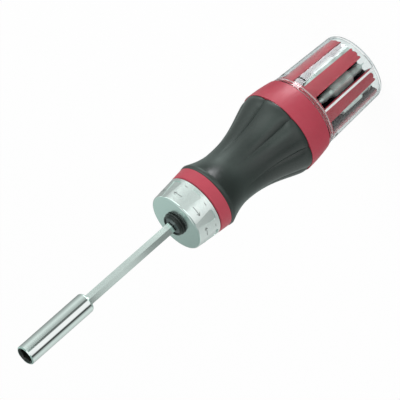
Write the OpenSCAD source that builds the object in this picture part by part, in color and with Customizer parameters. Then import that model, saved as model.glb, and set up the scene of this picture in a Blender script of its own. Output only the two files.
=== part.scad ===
// Ratcheting screwdriver with a rubber grip, a long bit sleeve, and bits stored under a turning clear cap.
// It stands on the flat end of its cap. The origin is the centre of that face, and +Z runs to the bit socket.

/* [Clear cap] */
// Outer radius of the cap where its flare begins
cap_side_r = 19.0; // [18.6:0.1:19.4]
// Narrowing of the cap's side, from its flare down to its flat end
cap_draft = 1.4; // [0.6:0.1:1.8]
// Rise of the flare, from the cap's side out to its rim
cap_flare_rise = 0.7; // [0.4:0.1:1]
// Length of the flared stretch at the rim
cap_flare_len = 6.6; // [5:0.2:8]
// Wall of the cap
cap_wall = 1.0; // [0.9:0.1:1.3]
// Thickness of the cap's flat end
cap_end_wall = 1.5; // [1.2:0.1:2]
// Radius of the rounded edge round the flat end
cap_edge_r = 1.8; // [1:0.1:2.2]
// Width of the window that lets a bit out
window_w = 7.4; // [7:0.1:9]
// Room in the window past each end of a bit
window_play = 0.3; // [0.1:0.05:0.4]
// Radius of the window's corners
window_corner_r = 1.2; // [0.6:0.1:2]

/* [Bits and their core] */
// Number of bits stored in the core
bit_count = 8; // [6:1:8]
// Width across flats of a bit's hexagon
bit_af = 6.35; // [6:0.05:6.35]
// Length of a double-ended bit
bit_len = 33.6; // [30:0.2:38]
// Length of the hexagon in the middle of a bit
bit_hex_len = 12.8; // [10:0.2:16]
// Radius of the round neck beside the hexagon
bit_neck_r = 2.1; // [1.8:0.05:2.4]
// Distance from the inside of the cap, where its flare begins, to the axis of a stored bit
bit_depth = 5.5; // [5.4:0.05:5.7]
// Depth that each land's end stands above the cap's end wall
core_end_gap = 1.5; // [1:0.1:2.5]
// Thickness of the core's base at the rim
core_base_len = 3.5; // [3:0.1:5]
// Radius of the spigot that seats the core in the handle
core_spigot_r = 12; // [10:0.2:13]
// Length of the spigot
core_spigot_len = 10; // [6:0.5:14]
// Radius of the hollow down the middle of the core
core_hollow_r = 5.4; // [4:0.2:6]

/* [Handle] */
// Length of the ball shoulder between the cap's rim and the grip
shoulder_len = 13.7; // [12:0.1:16]
// Length of the rubber grip
grip_len = 49.4; // [46:0.2:54]
// Length of the front collar
collar_len = 6; // [5:0.1:8]
// Step from the cap's rim out to the shoulder
shoulder_step = 0.3; // [0.2:0.1:1]
// Rise of the ball, from the shoulder's rear edge out to the handle's largest radius
ball_rise = 1.65; // [1.2:0.05:3]
// Radius of the waist
waist_r = 13.8; // [13.6:0.1:14.8]
// Distance from the largest radius to the waist
waist_reach = 32.2; // [30:0.2:36]
// Radius of the lip's crest, close to the grip's front end
lip_r = 17.1; // [17:0.1:18]
// Distance from the lip's crest to the grip's front end
lip_back = 2.2; // [1:0.1:3]
// Radius of the collar at the grip's front end
collar_start_r = 16.6; // [16.5:0.1:16.9]
// Radius of the collar at the selector ring
collar_end_r = 16.1; // [16:0.1:16.4]
// Thickness of the rubber
grip_t = 2.3; // [2.1:0.1:2.4]
// Number of flutes in the grip
flute_count = 8; // [6:1:8]
// Depth of the flutes at the ball
flute_depth = 1.5; // [0.6:0.1:1.7]
// Length of the flutes along the handle
flute_len = 38; // [20:0.5:40]
// Turn of the flutes from the line of the bits
flute_turn = 11.5; // [0:0.5:22.5]

/* [Selector ring] */
// Length of the selector ring
ring_len = 13; // [12.4:0.1:14]
// Outer radius at the front face
ring_front_r = 14.9; // [14.8:0.1:15.4]
// Outer radius at the collar
ring_rear_r = 15.95; // [15.8:0.05:16.2]
// Radius of the ring's bore
ring_bore_r = 13.4; // [13.2:0.05:13.5]
// Thickness of the ring's front wall
ring_front_t = 2; // [1.6:0.1:2.4]
// Radius of the rounded edge round the front face
ring_edge_r = 0.9; // [0.5:0.1:1.2]
// Number of raised pads
pad_count = 8; // [6:1:10]
// Width of the flat between two pads where it starts, near the collar
pad_gap_w = 5.6; // [4:0.1:6]
// Width of that flat at the front face
pad_gap_front_w = 2.1; // [1.6:0.1:3]
// Depth of that flat where it starts
pad_gap_rear = 0.45; // [0.3:0.05:0.8]
// Depth of that flat at the front face
pad_gap_front = 0.15; // [0.05:0.05:0.3]
// Radius of the two corners where that flat starts
pad_corner_r = 1.2; // [0.6:0.1:1.8]
// Plain rim left behind the flats
pad_rim_len = 1.8; // [1:0.1:3]
// Turn of the ring each way from its locked middle position
select_deg = 20; // [16:1:22]

/* [Ratchet] */
// Number of teeth on the ratchet gear
tooth_count = 24; // [24:12:36]
// Radius over the gear's teeth
gear_tip_r = 6; // [5.8:0.05:6.1]
// Radius at the bottom of the teeth
gear_root_r = 5.1; // [5:0.05:5.2]
// Length of the toothed stretch
gear_len = 6; // [5:0.2:6.6]
// Radius of the gear's journals
journal_r = 4.4; // [4.2:0.05:4.5]
// Outer radius of the nose that carries the selector ring
nose_r = 5.5; // [5.4:0.05:5.8]
// Length of the nose in front of the selector ring
nose_len = 2.6; // [1.8:0.1:3]
// Radius of the gear case's plug in the handle
plug_r = 11.4; // [11:0.1:11.6]
// Length of the gear case's plug
plug_len = 11; // [9.5:0.2:11.4]
// Distance from the tool's axis to the pawl's pin
pawl_pin_reach = 8; // [7.9:0.05:8.1]
// Radius of the pawl's pin
pawl_pin_r = 0.8; // [0.6:0.05:0.9]
// Turn of the pawl when the selector ring is at its limit
pawl_deg = 4.5; // [4:0.1:4.6]
// Radius of the sprung plunger
plunger_r = 1.05; // [0.8:0.05:1.2]
// Length of the plunger
plunger_len = 2.3; // [2:0.1:2.6]
// Wire of the plunger's spring
spring_wire = 0.3; // [0.2:0.02:0.34]

/* [Shank and sleeve] */
// Width across flats of the hexagonal shank
shank_af = 5; // [4.8:0.05:5.4]
// Turn of the shank's hexagon, from a corner towards +X
shank_turn = 38.5; // [0:0.5:60]
// Length of the shank between the selector ring and the sleeve
shank_free = 58.5; // [50:0.5:80]
// Length of the sleeve
sleeve_len = 40.2; // [38:0.2:50]
// Outer radius of the sleeve
sleeve_r = 5; // [4.95:0.05:5.6]
// Depth of the hexagonal socket
socket_depth = 24; // [20:0.5:25]
// Radius of the rounded edge at the sleeve's rear
sleeve_rear_edge_r = 1.5; // [0.5:0.1:1.6]
// Length of the chamfer at the sleeve's mouth
sleeve_mouth_chamfer = 0.5; // [0.3:0.1:0.8]
// Thickness of the magnet
magnet_t = 3; // [2:0.2:4]

/* [Hidden] */
// Smoothness of round faces
$fn = 96;
// Overrun of every cut past the face that it opens
over = 1;
// Radial clearance of a shaft or ring that turns
run_fit = 0.08;
// Clearance of pieces that are fixed together
seat_fit = 0.04;
// Gap between pieces that turn past each other end to end
turn_gap = 0.3;
// Small edge break
edge_break = 0.4;

// Stations along the tool, from the flat end of the cap
bit_seat_z = cap_end_wall + turn_gap;
bit_top_z = bit_seat_z + bit_len;
shoulder_z = bit_top_z + seat_fit + core_base_len;
cap_len = shoulder_z - turn_gap;
grip_z = shoulder_z + shoulder_len;
collar_z = grip_z + grip_len;
ring_seat_z = collar_z + collar_len;
ring_z = ring_seat_z + turn_gap;
ring_face_z = ring_z + ring_len;
nose_z = ring_face_z + nose_len;
sleeve_z = ring_face_z + shank_free;
tip_z = sleeve_z + sleeve_len;

// Radii of the cap and the ball, each from the one before
cap_end_r = cap_side_r - cap_draft;
cap_rim_r = cap_side_r + cap_flare_rise;
shoulder_end_r = cap_rim_r + shoulder_step;
ball_r = shoulder_end_r + ball_rise;

// Handle outline: the ball's crown lies a little ahead of the grip's rear end
crown_share = 1.1;
waist_share = 0.76;
lip_share = 1.9;
shoulder_share = 1.8;
crown_z = shoulder_z + shoulder_len * crown_share;
waist_z = crown_z + waist_reach;
lip_z = collar_z - lip_back;
outline_steps = 26;

// Radius of the handle's outline at height z
function handle_r(z) =
    z < crown_z
    ? ball_r - (ball_r - shoulder_end_r) * pow((crown_z - z) / (crown_z - shoulder_z), shoulder_share)
    : z < waist_z
    ? waist_r + (ball_r - waist_r) * (1 + cos(180 * pow((z - crown_z) / waist_reach, waist_share))) / 2
    : z < lip_z
    ? waist_r + (lip_r - waist_r) * pow((z - waist_z) / (lip_z - waist_z), lip_share)
    : lip_r - (lip_r - collar_start_r) * pow((z - lip_z) / lip_back, 2);

// Heights at equal steps from low to high, both included
function heights(low, high, steps) = [for (i = [0:steps]) low + (high - low) * i / steps];

// Points of an arc about [x, y], from angle a to angle b
function arc(x, y, r, a, b, steps = 8) =
    [for (i = [0:steps]) [x + r * cos(a + (b - a) * i / steps), y + r * sin(a + (b - a) * i / steps)]];

// Ratio of a hexagon's corner radius to its width across flats
hex_share = 1 / sqrt(3);

// Hexagonal prism with a corner towards +X
module hex_prism(af, length) {
    cylinder(h = length, r = af * hex_share, $fn = 6);
}

// Open snap ring of round wire about the Z axis, with its gap towards -Y
module wire_ring(ring_r, wire_r, gap_deg) {
    rotate([0, 0, gap_deg / 2 - 90])
        rotate_extrude(angle = 360 - gap_deg)
            translate([ring_r, 0])
                circle(r = wire_r, $fn = 32);
}

// Clear cap
cap_taper_z = cap_len - cap_flare_len;
flare_r = (pow(cap_flare_len, 2) + pow(cap_flare_rise, 2)) / cap_flare_rise / 2;
flare_deg = asin(cap_flare_len / flare_r);

// Outer radius of the flare at height z
function cap_flare(z) = cap_side_r + flare_r - sqrt(pow(flare_r, 2) - pow(z - cap_taper_z, 2));

cap_land_r = cap_flare(shoulder_z - core_base_len) - cap_wall;
snap_len = 1.3;
snap_depth = 0.6;
snap_flank_share = 0.2;
snap_z = cap_len - core_base_len / 2 - snap_len / 2;
window_z = bit_seat_z - window_play;
window_len = bit_len + 2 * window_play;

// Outer radius of the cap's drafted side at height z
function cap_side(z) = cap_end_r + (cap_side_r - cap_end_r) * (z - cap_edge_r) / (cap_taper_z - cap_edge_r);

module clear_cap() color([0.85, 0.92, 0.92, 0.4]) {
    difference() {
        rotate_extrude()
            polygon(concat(
                [[0, 0]],
                arc(cap_end_r - cap_edge_r, cap_edge_r, cap_edge_r, -90, 0),
                arc(cap_side_r + flare_r, cap_taper_z, flare_r, 180, 180 - flare_deg),
                [
                    [cap_land_r, cap_len],
                    [cap_land_r, snap_z + snap_len * (1 - snap_flank_share)],
                    [cap_land_r - snap_depth, snap_z + snap_len / 2],
                    [cap_land_r, snap_z + snap_len * snap_flank_share],
                    [cap_land_r, shoulder_z - core_base_len],
                    [cap_side_r - cap_wall, cap_taper_z],
                    [cap_end_r - cap_wall, cap_edge_r],
                    [cap_end_r - cap_edge_r, cap_end_wall],
                    [0, cap_end_wall]
                ]
            ));
        window();
    }
}

// Window towards -Y, with round corners
module window() {
    translate([0, 0, window_z])
        rotate([90, 0, 0])
            linear_extrude(cap_rim_r + over)
                union() {
                    translate([-window_w / 2, window_corner_r])
                        square([window_w, window_len - 2 * window_corner_r]);
                    translate([-window_w / 2 + window_corner_r, 0])
                        square([window_w - 2 * window_corner_r, window_len]);
                    for (x = [-1, 1], z = [window_corner_r, window_len - window_corner_r])
                        translate([x * (window_w / 2 - window_corner_r), z])
                            circle(r = window_corner_r);
                }
}

// Core that holds the bits
slot_top_z = bit_top_z + seat_fit;
core_low_z = cap_end_wall + core_end_gap;
core_fit = 0.25;
core_base_r = cap_land_r - run_fit;
bit_ring_r = cap_side_r - cap_wall - bit_depth;
bit_side_play = 0.12;
slot_w = bit_af + 2 * bit_side_play;
notch_w = 1.5;
notch_turn = 5.5;
notch_count = 2;
land_step_r = 13.4;

module bit_core() color("firebrick") {
    difference() {
        union() {
            rotate_extrude()
                polygon([
                    [0, core_low_z],
                    [cap_side(core_low_z) - cap_wall - core_fit - edge_break, core_low_z],
                    [cap_side(core_low_z) - cap_wall - core_fit, core_low_z + edge_break],
                    [cap_side_r - cap_wall - core_fit, cap_taper_z],
                    [cap_land_r - core_fit, slot_top_z],
                    [core_base_r, slot_top_z],
                    [core_base_r, snap_z],
                    [core_base_r - snap_depth - run_fit, snap_z + snap_len / 2],
                    [core_base_r, snap_z + snap_len],
                    [core_base_r, shoulder_z],
                    [0, shoulder_z]
                ]);
            translate([0, 0, shoulder_z - core_base_len])
                cylinder(h = core_base_len + core_spigot_len, r = core_spigot_r);
        }
        translate([0, 0, core_low_z - over])
            cylinder(h = bit_len + over, r = core_hollow_r);
        for (i = [0:bit_count - 1]) {
            rotate([0, 0, 360 * i / bit_count - 90])
                bit_slot();
            for (side = [0:notch_count - 1])
                rotate([0, 0, 360 * (i + 0.5) / bit_count - 90])
                    rotate([0, 0, (side - (notch_count - 1) / 2) * 2 * notch_turn])
                        land_notch();
        }
    }
}

// Slot towards +X whose floor fits the bit's hexagon
module bit_slot() {
    half = slot_w / 2;
    floor_r = bit_ring_r - slot_w * hex_share;
    translate([0, 0, core_low_z - over])
        linear_extrude(slot_top_z - core_low_z + over)
            polygon([
                [floor_r, 0],
                [bit_ring_r - slot_w * hex_share / 2, half],
                [cap_rim_r, half],
                [cap_rim_r, -half],
                [bit_ring_r - slot_w * hex_share / 2, -half]
            ]);
}

// V notch across the end of a land
module land_notch() {
    translate([land_step_r, 0, core_low_z])
        rotate([45, 0, 0])
            translate([0, -notch_w / 2, -notch_w / 2])
                cube([cap_rim_r - land_step_r, notch_w, notch_w]);
}

// Double-ended bits
bit_end_len = (bit_len - bit_hex_len) / 2;
bit_chamfer = 0.6;
bit_cone_len = 1.6;
tip_len = 5.2;
tip_sink = 0.3;
bit_tips = [
    ["cross", "cross"], ["flat", "cross"], ["square", "square"], ["star", "star"],
    ["flat", "flat"], ["star", "star"], ["hex", "hex"], ["cross", "flat"]
];
// Sizes of the low and the high tip of each bit, as shares of the neck
tip_shares = [
    [1.15, 0.95], [1.2, 0.8], [0.9, 0.75], [0.95, 0.8],
    [1.25, 0.9], [1.1, 0.7], [0.95, 0.8], [1.3, 1]
];

module stored_bit(i) {
    rotate([0, 0, 360 * i / bit_count - 90])
        translate([bit_ring_r, 0, bit_seat_z])
            color("silver") union() {
                translate([0, 0, bit_end_len])
                    bit_hexagon();
                translate([0, 0, bit_end_len])
                    mirror([0, 0, 1])
                        bit_end(bit_tips[i][0], tip_shares[i][0] * bit_neck_r);
                translate([0, 0, bit_len - bit_end_len])
                    bit_end(bit_tips[i][1], tip_shares[i][1] * bit_neck_r);
            }
}

module bit_hexagon() {
    corner_r = bit_af * hex_share;
    intersection() {
        hex_prism(bit_af, bit_hex_len);
        rotate_extrude()
            polygon([
                [0, 0],
                [corner_r - bit_chamfer, 0],
                [corner_r, bit_chamfer],
                [corner_r, bit_hex_len - bit_chamfer],
                [corner_r - bit_chamfer, bit_hex_len],
                [0, bit_hex_len]
            ]);
    }
}

// One end of a bit, upwards from its hexagon: a shoulder cone, the neck and the tip
module bit_end(kind, tip_r) {
    rotate_extrude()
        polygon([
            [0, -over],
            [bit_af / 2 - bit_chamfer, -over],
            [bit_af / 2 - bit_chamfer, 0],
            [bit_neck_r, bit_cone_len],
            [bit_neck_r, bit_end_len - tip_len + tip_sink],
            [0, bit_end_len - tip_len + tip_sink]
        ]);
    translate([0, 0, bit_end_len - tip_len]) {
        if (kind == "cross")
            cross_tip(tip_r);
        if (kind == "flat")
            flat_tip(tip_r);
        if (kind == "square")
            cylinder(h = tip_len, r = tip_r, $fn = 4);
        if (kind == "hex")
            cylinder(h = tip_len, r = tip_r, $fn = 6);
        if (kind == "star")
            linear_extrude(tip_len)
                polygon([for (a = [0:10:350]) (tip_r * (1 + cos(6 * a) * star_share)) * [cos(a), sin(a)]]);
    }
}
star_share = 0.1;
cross_point_share = 0.3;
cross_slot_share = 0.55;
blade_share = 0.16;

// Pointed tip with four grooves
module cross_tip(tip_r) {
    difference() {
        cylinder(h = tip_len, r1 = tip_r, r2 = tip_r * cross_point_share);
        for (a = [45:90:315])
            rotate([0, 0, a])
                translate([tip_r * cross_point_share, 0, tip_len * (1 - cross_slot_share)])
                    rotate([0, -atan(tip_r * cross_point_share / tip_len), 45])
                        cube([tip_r, tip_r, tip_len]);
    }
}

// Flat blade
module flat_tip(tip_r) {
    intersection() {
        cylinder(h = tip_len, r = tip_r);
        rotate([90, 0, 0])
            linear_extrude(2 * tip_r, center = true)
                polygon([
                    [-tip_r, 0],
                    [tip_r, 0],
                    [tip_r * blade_share, tip_len],
                    [-tip_r * blade_share, tip_len]
                ]);
    }
}

// Handle body: ball shoulder, core under the rubber, and front collar
pocket_r = plug_r + seat_fit;
pocket_z = ring_seat_z - plug_len - turn_gap;
key_count = 6;
key_r = 0.8;
core_outline_steps = 10;
core_outline_z = heights(grip_z, collar_z, core_outline_steps);

module handle_body() color("firebrick") {
    difference() {
        rotate_extrude()
            polygon(concat(
                [[0, shoulder_z], [shoulder_end_r - edge_break, shoulder_z]],
                [for (z = heights(shoulder_z + edge_break, grip_z, outline_steps / 2)) [handle_r(z), z]],
                [for (z = core_outline_z) [handle_r(z) - grip_t, z]],
                [
                    [collar_start_r, collar_z],
                    [collar_end_r, ring_seat_z - edge_break],
                    [collar_end_r - edge_break, ring_seat_z],
                    [0, ring_seat_z]
                ]
            ));
        translate([0, 0, shoulder_z - over])
            cylinder(h = core_spigot_len + seat_fit + over, r = core_spigot_r + seat_fit);
        translate([0, 0, pocket_z])
            cylinder(h = ring_seat_z - pocket_z + over, r = pocket_r);
        plug_keys(key_r + seat_fit, pocket_z, ring_seat_z - pocket_z + over);
    }
}

// Round keys along the plug, which stop it from turning in the handle
module plug_keys(r, z, length) {
    for (i = [0:key_count - 1])
        rotate([0, 0, 360 * i / key_count])
            translate([plug_r, 0, z])
                cylinder(h = length, r = r);
}

// Rubber grip: a lofted skin whose flutes fade towards the waist
flute_segments = 12;
grip_clear = 0.04;
grip_rings = 21;
crease_share = 1.25;

// Depth of the grip's surface under the handle's outline at height z and angle a
function flute(z, a) =
    let (
        fade = max(0, min(1, (grip_z + flute_len - z) / flute_len)),
        side = abs(sin(flute_count * (a - flute_turn) / 2))
    )
    flute_depth * fade * fade * (3 - 2 * fade) * pow(1 - side, crease_share);

// One ring of points at height z: outside, or inside and clear of the core's outline
function grip_ring(z, inner, segments) =
    [for (k = [0:segments - 1])
        let (
            a = 360 * k / segments + flute_turn,
            r = inner
                ? (handle_r(z) - grip_t + grip_clear) / cos(180 / segments)
                : handle_r(z) - flute(z, a)
        )
        [r * cos(a), r * sin(a), max(grip_z + grip_clear, min(collar_z - grip_clear, z))]];

module grip() color("darkslategray") {
    segments = flute_count * flute_segments;
    outer = [for (z = concat(heights(grip_z, lip_z, grip_rings), [collar_z])) grip_ring(z, false, segments)];
    inner = [for (z = heights(collar_z, grip_z, core_outline_steps)) grip_ring(z, true, segments)];
    rings = concat(outer, inner);
    count = len(rings);
    polyhedron(
        points = [for (ring = rings, p = ring) p],
        faces = [for (i = [0:count - 1], k = [0:segments - 1], half = [0, 1])
            let (
                next_i = (i + 1) % count,
                next_k = (k + 1) % segments,
                a = i * segments + k,
                b = i * segments + next_k,
                c = next_i * segments + next_k,
                d = next_i * segments + k
            )
            half == 0 ? [a, c, b] : [a, d, c]]
    );
}

// Gear case: plug in the handle, drum under the selector ring, and nose through its face
drum_r = ring_bore_r - run_fit;
drum_top_z = ring_face_z - ring_front_t - run_fit;
drum_floor = 2.8;
side_gap = 0.2;
tip_gap = 0.3;
gear_z = ring_seat_z + drum_floor + side_gap;
gear_top_z = gear_z + gear_len;
cavity_low_z = gear_z - side_gap;
cavity_top_z = gear_top_z + side_gap;
bearing_wall = 0.3;
bearing_r = gear_tip_r + tip_gap + bearing_wall;
bearing_low_z = ring_seat_z - plug_len;
pawl_wall = 1.6;
pawl_back_r = pawl_pin_reach + pawl_wall;
boss_w = 4.4;
boss_reach = 2.6;
boss_low_r = ring_bore_r - boss_reach;
stop_deg = 0.5;
notch_deg = select_deg + asin(boss_w / 2 / boss_low_r) + stop_deg;
notch_low_r = pawl_back_r + tip_gap;
pocket_half_w = 5.5;
pocket_low = 4;
pocket_high = notch_low_r + 2 * tip_gap;

module gear_case() color("dimgray") {
    difference() {
        union() {
            translate([0, 0, bearing_low_z])
                cylinder(h = plug_len, r = plug_r);
            plug_keys(key_r, bearing_low_z, plug_len - edge_break);
            translate([0, 0, ring_seat_z])
                cylinder(h = drum_top_z - ring_seat_z, r = drum_r);
            nose();
        }
        translate([0, 0, bearing_low_z - over])
            cylinder(h = cavity_low_z - bearing_low_z + over, r = bearing_r + seat_fit);
        translate([0, 0, cavity_low_z - over])
            cylinder(h = cavity_top_z - cavity_low_z + over, r = gear_tip_r + tip_gap);
        translate([0, 0, cavity_low_z])
            cylinder(h = nose_z - cavity_low_z + over, r = journal_r + run_fit);
        translate([-pocket_half_w, pocket_low, cavity_low_z])
            cube([2 * pocket_half_w, pocket_high - pocket_low, cavity_top_z - cavity_low_z]);
        drum_notch();
        translate([0, pawl_pin_reach, gear_z - pin_seat])
            cylinder(h = drum_top_z - gear_z + pin_seat + over, r = pawl_pin_r + seat_fit);
    }
}
pin_seat = 2;

// Nose with the groove for its snap ring
snap_wire_r = 0.5;
snap_ring_z = ring_face_z + snap_wire_r + side_gap;
module nose() {
    rotate_extrude()
        polygon([
            [0, cavity_low_z],
            [nose_r, cavity_low_z],
            [nose_r, snap_ring_z - snap_wire_r - seat_fit],
            [nose_r - snap_wire_r, snap_ring_z - snap_wire_r - seat_fit],
            [nose_r - snap_wire_r, snap_ring_z + snap_wire_r + seat_fit],
            [nose_r, snap_ring_z + snap_wire_r + seat_fit],
            [nose_r, nose_z - edge_break],
            [nose_r - edge_break, nose_z],
            [0, nose_z]
        ]);
}

// Notch in the drum, towards +Y, that the ring's boss swings in; its sides are the ring's stops
module drum_notch() {
    reach = drum_r + over;
    translate([0, 0, cavity_low_z])
        linear_extrude(drum_top_z - cavity_low_z + over)
            difference() {
                polygon([
                    [0, 0],
                    reach * [sin(notch_deg), cos(notch_deg)],
                    reach * [sin(notch_deg), 1],
                    reach * [-sin(notch_deg), 1],
                    reach * [-sin(notch_deg), cos(notch_deg)]
                ]);
                circle(r = notch_low_r);
            }
}

// Blind bearing that closes the gear case and carries the thrust ball
thrust_ball_share = 0.45;
thrust_ball_r = journal_r * thrust_ball_share;
bearing_floor = 2.4;
bearing_floor_z = bearing_low_z + bearing_floor;

module rear_bearing() color("darkgoldenrod") {
    difference() {
        translate([0, 0, bearing_low_z])
            cylinder(h = cavity_low_z - bearing_low_z, r = bearing_r);
        translate([0, 0, bearing_floor_z + thrust_ball_r])
            cylinder(h = cavity_low_z - bearing_floor_z - thrust_ball_r + over, r = journal_r + run_fit);
        translate([0, 0, bearing_floor_z])
            cylinder(h = thrust_ball_r + over, r = thrust_ball_r + run_fit);
    }
}

module thrust_ball() color("silver") {
    translate([0, 0, bearing_floor_z + seat_fit + thrust_ball_r])
        sphere(r = thrust_ball_r);
}

// Ratchet gear on its two journals, with a hexagonal bore for the shank
shank_low_z = bearing_floor_z + 2 * thrust_ball_r + 2 * seat_fit;
clip_t = 0.7;
clip_z = shank_low_z + clip_t;
journal_low_z = clip_z + clip_t + side_gap;
tooth_crest_share = 0.12;

module ratchet_gear() color("dimgray") {
    difference() {
        union() {
            translate([0, 0, gear_z])
                linear_extrude(gear_len)
                    polygon([for (i = [0:tooth_count - 1], p = [-1, 1, 2])
                        let (a = 360 / tooth_count * (i + (p < 2 ? p * tooth_crest_share / 2 : 0.5)))
                        (p < 2 ? gear_tip_r : gear_root_r) * [sin(a), cos(a)]]);
            translate([0, 0, journal_low_z])
                cylinder(h = nose_z - edge_break - journal_low_z, r = journal_r);
        }
        translate([0, 0, journal_low_z - over])
            rotate([0, 0, shank_turn])
                hex_prism(shank_af + 2 * seat_fit, nose_z - journal_low_z + 2 * over);
    }
}

// Open clip in a groove near the shank's rear end
clip_groove = 0.5;
module shank_clip() color("dimgray") {
    translate([0, 0, clip_z + seat_fit])
        difference() {
            cylinder(h = clip_t - 2 * seat_fit, r = journal_r - tip_gap);
            translate([0, 0, -over])
                cylinder(h = clip_t + 2 * over, r = shank_af / 2 - clip_groove + seat_fit);
            translate([-journal_r, 0, -over])
                mirror([0, 1, 0])
                    translate([journal_r - shank_af / 2 + clip_groove - seat_fit, 0, 0])
                        cube([shank_af - 2 * clip_groove + 2 * seat_fit, journal_r, clip_t + 2 * over]);
        }
}

// Rocking pawl with a beak at each end, drawn about the tool's axis with its middle towards +Y
beak_aim_deg = 37.5;
tooth_deg = 360 / tooth_count;
beak_deg = tooth_deg * (round(beak_aim_deg / tooth_deg - 0.5) + 0.5);
beak_depth = 0.28;
beak_len = 1.18;
beak_half = 0.06;
beak_flank_deg = 32;
beak_tip_r = gear_tip_r - beak_depth;
beak_base_r = beak_tip_r + beak_len;
under_gap = 0.45;
pawl_under_r = gear_tip_r + under_gap;
pawl_back_drop = 0.5;
pawl_half_w = 4.3;
pawl_arm_x = 4.8;
arm_drop = 0.4;

module pawl() color("gray") {
    base_half = beak_half + (beak_base_r - beak_tip_r) * tan(beak_flank_deg);
    back_r = (pow(pawl_half_w, 2) + pow(pawl_back_drop, 2)) / (2 * pawl_back_drop);
    back_deg = asin(pawl_half_w / back_r);
    right = [
        polar(beak_base_r, beak_deg, -base_half),
        polar(beak_tip_r, beak_deg, -beak_half),
        polar(beak_tip_r, beak_deg, beak_half),
        polar(beak_base_r, beak_deg, base_half),
        [pawl_arm_x, pawl_pin_reach - arm_drop]
    ];
    difference() {
        translate([0, 0, gear_z + side_gap / 2])
            linear_extrude(gear_len - side_gap)
                polygon(concat(
                    [for (a = [-20:5:20]) pawl_under_r * [sin(a), cos(a)]],
                    right,
                    arc(0, pawl_back_r - back_r, back_r, 90 - back_deg, 90 + back_deg, 12),
                    [for (i = [len(right) - 1:-1:0]) [-right[i][0], right[i][1]]]
                ));
        translate([0, pawl_pin_reach, gear_z - over])
            cylinder(h = gear_len + 2 * over, r = pawl_pin_r + run_fit);
    }
}

// Point at radius r and angle a from +Y, moved sideways by the length side
function polar(r, a, side) = [r * sin(a) + side * cos(a), r * cos(a) - side * sin(a)];

module pawl_pin() color("silver") {
    translate([0, pawl_pin_reach, gear_z - pin_seat + seat_fit])
        cylinder(h = drum_top_z - gear_z + pin_seat - 2 * seat_fit, r = pawl_pin_r);
}

// Plunger that presses the pawl's back, in the ring's boss
plunger_gap = 0.1;
plunger_tip_r = pawl_back_r + plunger_gap;
plunger_z = gear_z + gear_len / 2;
plunger_hole_depth = 1.2;
plunger_hole_top = ring_bore_r + plunger_hole_depth;

module plunger() color("silver") {
    translate([0, plunger_tip_r, plunger_z])
        rotate([-90, 0, 0])
            union() {
                translate([0, 0, plunger_r])
                    sphere(r = plunger_r);
                translate([0, 0, plunger_r])
                    cylinder(h = plunger_len - plunger_r, r = plunger_r);
            }
}

// Coil spring along +Y: one tube swept round a helix
spring_turns = 3;
spring_steps = 12;
spring_sides = 6;
module plunger_spring() color("lightgray") {
    low = plunger_tip_r + plunger_len + spring_wire / 2 + seat_fit;
    high = plunger_hole_top - spring_wire / 2 - seat_fit;
    coil_r = plunger_r - spring_wire / 2;
    steps = spring_turns * spring_steps;
    rings = [for (i = [0:steps])
        let (a = 360 * i / spring_steps, y = low + (high - low) * i / steps)
        [for (k = [0:spring_sides - 1])
            let (b = 360 * k / spring_sides, r = coil_r + spring_wire / 2 * cos(b))
            [r * cos(a), y + spring_wire / 2 * sin(b), plunger_z - r * sin(a)]]];
    polyhedron(
        points = [for (ring = rings, p = ring) p],
        faces = concat(
            [[for (k = [0:spring_sides - 1]) k]],
            [[for (k = [spring_sides - 1:-1:0]) steps * spring_sides + k]],
            [for (i = [0:steps - 1], k = [0:spring_sides - 1], half = [0, 1])
                let (
                    n = (k + 1) % spring_sides,
                    a = i * spring_sides + k,
                    b = i * spring_sides + n,
                    c = (i + 1) * spring_sides + n,
                    d = (i + 1) * spring_sides + k
                )
                half == 0 ? [a, c, b] : [a, d, c]]
        )
    );
}

// Selector ring: a cup over the drum, with raised pads and a boss for the plunger
module selector_ring() color("gainsboro") {
    boss_len = ring_face_z - ring_front_t / 2 - cavity_low_z;
    difference() {
        union() {
            difference() {
                rotate_extrude()
                    polygon(concat(
                        [[0, ring_z], [ring_rear_r - edge_break, ring_z], [ring_rear_r, ring_z + edge_break]],
                        arc(ring_front_r - ring_edge_r, ring_face_z - ring_edge_r, ring_edge_r, 0, 90),
                        [[0, ring_face_z]]
                    ));
                translate([0, 0, ring_z - over])
                    cylinder(h = ring_len - ring_front_t + over, r = ring_bore_r);
            }
            translate([-boss_w / 2, boss_low_r, cavity_low_z + side_gap])
                cube([boss_w, ring_bore_r - boss_low_r + over / 2, boss_len]);
        }
        translate([0, 0, ring_z])
            cylinder(h = ring_len + over, r = nose_r + run_fit);
        for (i = [0:pad_count - 1])
            rotate([0, 0, 360 * (i + 0.5) / pad_count])
                pad_gap();
        translate([0, boss_low_r - over, plunger_z])
            rotate([-90, 0, 0])
                cylinder(h = plunger_hole_top - boss_low_r + over, r = plunger_r + run_fit);
    }
}

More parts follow.
